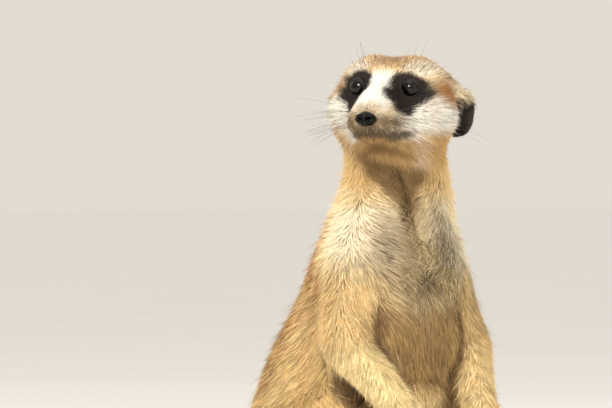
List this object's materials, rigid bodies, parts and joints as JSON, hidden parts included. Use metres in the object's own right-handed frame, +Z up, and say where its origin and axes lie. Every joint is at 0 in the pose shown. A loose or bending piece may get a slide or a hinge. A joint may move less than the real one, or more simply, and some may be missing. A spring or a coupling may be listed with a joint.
{
  "type": "meerkat",
  "caption": "Life-size still model of a meerkat sitting upright on its haunches, head turned over its right shoulder, arms hanging over its belly, tail curled on the floor.",
  "frame": {"origin": "middle of the flat under the rump, at floor level", "axes": "+Z up, -Y the way the chest faces, +X the animal's left"},
  "size_m": [0.1624, 0.2075, 0.2363],
  "materials": {
    "coat": "short coarse fur, buff with darker back bands",
    "face_coat": "short soft fur, cream with dark eye patches and a brown muzzle",
    "tail_tip_coat": "short dark fur",
    "ear_skin": "thin black skin with fine hairs",
    "nose_skin": "moist pebbled black skin",
    "eye": "wet and glossy, dark brown"
  },
  "bodies": {
    "root": {"head": "face_coat", "neck": "coat", "chest": "coat", "belly": "coat", "tail_base": "coat", "tail_middle": "coat", "tail_tip": "tail_tip_coat", "nose": "nose_skin", "ear_left": "ear_skin", "eye_left": "eye", "upper_arm_left": "coat", "forearm_left": "coat", "hand_left": "coat", "thigh_left": "coat", "shank_left": "coat", "foot_left": "coat", "ear_right": "ear_skin", "eye_right": "eye", "upper_arm_right": "coat", "forearm_right": "coat", "hand_right": "coat", "thigh_right": "coat", "shank_right": "coat", "foot_right": "coat"}
  },
  "joints": []
}
